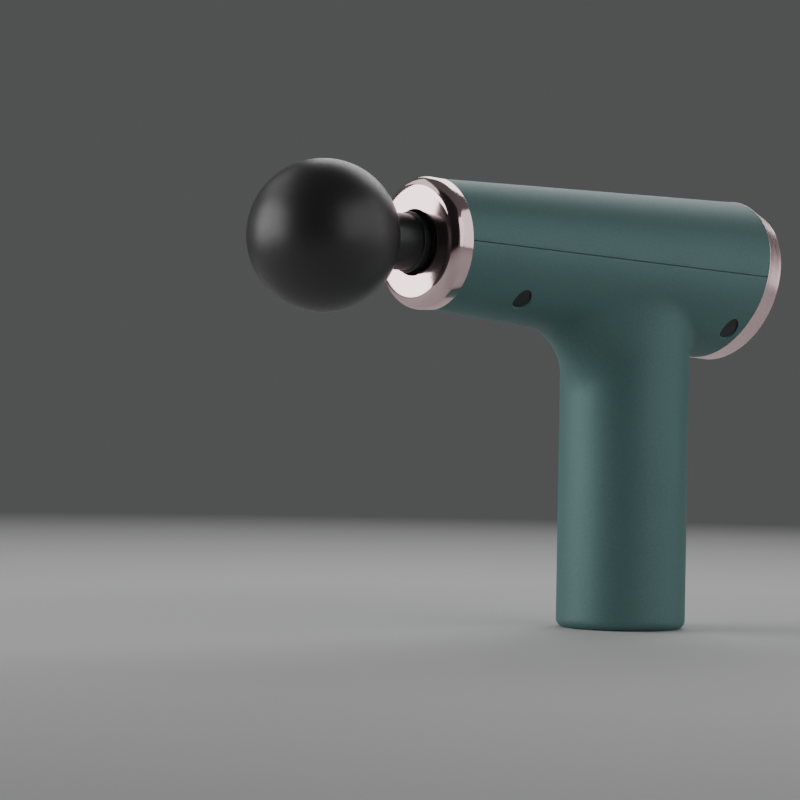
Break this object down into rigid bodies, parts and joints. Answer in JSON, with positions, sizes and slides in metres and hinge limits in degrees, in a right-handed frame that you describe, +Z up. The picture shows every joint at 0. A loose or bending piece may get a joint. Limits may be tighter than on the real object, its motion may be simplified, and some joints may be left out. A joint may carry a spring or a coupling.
{
  "type": "massage gun",
  "caption": "Handheld percussion massage gun: tapered barrel on a round handle, plated end rings, ball head on a sliding piston driven by a crank, button panel at the rear.",
  "frame": {"origin": "centre of the handle's flat base face", "axes": "+Z up along the handle, -X towards the massage head, +X towards the rear control panel, Y across"},
  "size_m": [0.1929, 0.052, 0.14],
  "materials": {
    "housing_green": "satin",
    "screw_plug_dark": "matte",
    "plated_ring": "polished",
    "foam_black": "matte",
    "head_plastic": "satin",
    "black_rubber": "matte",
    "panel_gloss": "gloss",
    "light_guide": "satin",
    "button_plastic": "satin",
    "board_green": "satin",
    "chip_black": "matte",
    "led_white": "satin",
    "steel": "satin",
    "motor_steel": "satin",
    "copper": "satin",
    "frame_aluminium": "satin",
    "inner_plastic": "matte",
    "bush_plastic": "satin",
    "cell_wrap": "satin",
    "wire_red": "satin",
    "wire_black": "satin",
    "wire_yellow": "satin"
  },
  "bodies": {
    "housing": {"battery_cell_left": "cell_wrap", "battery_cell_right": "cell_wrap", "battery_lead_black": "wire_black", "battery_lead_red": "wire_red", "cell_holder_lower": "inner_plastic", "cell_holder_upper": "inner_plastic", "charge_board": "board_green", "charge_lead": "wire_yellow", "control_board": "board_green", "control_panel": "panel_gloss", "drive_frame": "frame_aluminium", "frame_screw_front_left": "steel", "frame_screw_front_right": "steel", "frame_screw_rear_left": "steel", "frame_screw_rear_right": "steel", "front_ring": "plated_ring", "front_seal": "black_rubber", "guide_bush": "bush_plastic", "guide_housing": "inner_plastic", "handle_end_cap": "housing_green", "housing_screw_front_left": "steel", "housing_screw_front_right": "steel", "housing_screw_rear_left": "steel", "housing_screw_rear_right": "steel", "led_bar": "led_white", "light_guide": "light_guide", "lower_housing": "housing_green", "motor_base": "frame_aluminium", "motor_bearing_lower": "steel", "motor_bearing_upper": "steel", "motor_driver_chip": "chip_black", "motor_insulator": "inner_plastic", "phase_wire_a": "wire_red", "phase_wire_b": "wire_black", "phase_wire_c": "wire_yellow", "rear_trim_ring": "plated_ring", "screw_plug_front_left": "screw_plug_dark", "screw_plug_front_right": "screw_plug_dark", "screw_plug_rear_left": "screw_plug_dark", "screw_plug_rear_right": "screw_plug_dark", "stator_core": "motor_steel", "stator_winding": "copper", "tact_switch": "chip_black", "top_cover": "housing_green", "usb_socket": "steel"},
    "rotor": {"rotor_bell": "motor_steel", "rotor_magnets": "motor_steel", "motor_shaft": "steel", "crank_disc": "motor_steel", "crank_pin": "steel", "crank_bearing": "steel"},
    "piston": {"piston_rod": "inner_plastic", "piston_yoke": "inner_plastic", "yoke_grub_screw": "steel"},
    "head": {"ball_skin": "foam_black", "ball_core": "head_plastic", "head_stem": "head_plastic", "stem_oring": "black_rubber"},
    "button": {"power_button": "button_plastic", "switch_plunger": "button_plastic"}
  },
  "joints": [
    {"name": "crank_turn", "type": "hinge", "parent": "housing", "child": "rotor", "pos_m": [0, 0, 0.1], "axis": [0, 0, 1], "range_deg": [-90, 90]},
    {"name": "piston_slide", "type": "slide", "parent": "housing", "child": "piston", "axis": [-1, 0, 0], "range_m": [-0.0035, 0.0035]},
    {"name": "head_pull", "type": "slide", "parent": "piston", "child": "head", "axis": [-1, 0, 0], "range_m": [0, 0.03]},
    {"name": "button_press", "type": "slide", "parent": "housing", "child": "button", "axis": [-0.9688, 0, 0.2478], "range_m": [0, 0.0006], "stiffness_N_per_m": 1500, "springref_m": -0.0003}
  ],
  "couplings": [
    {"joint": "piston_slide", "follows": "crank_turn", "m_per_rad": 0.002228}
  ]
}
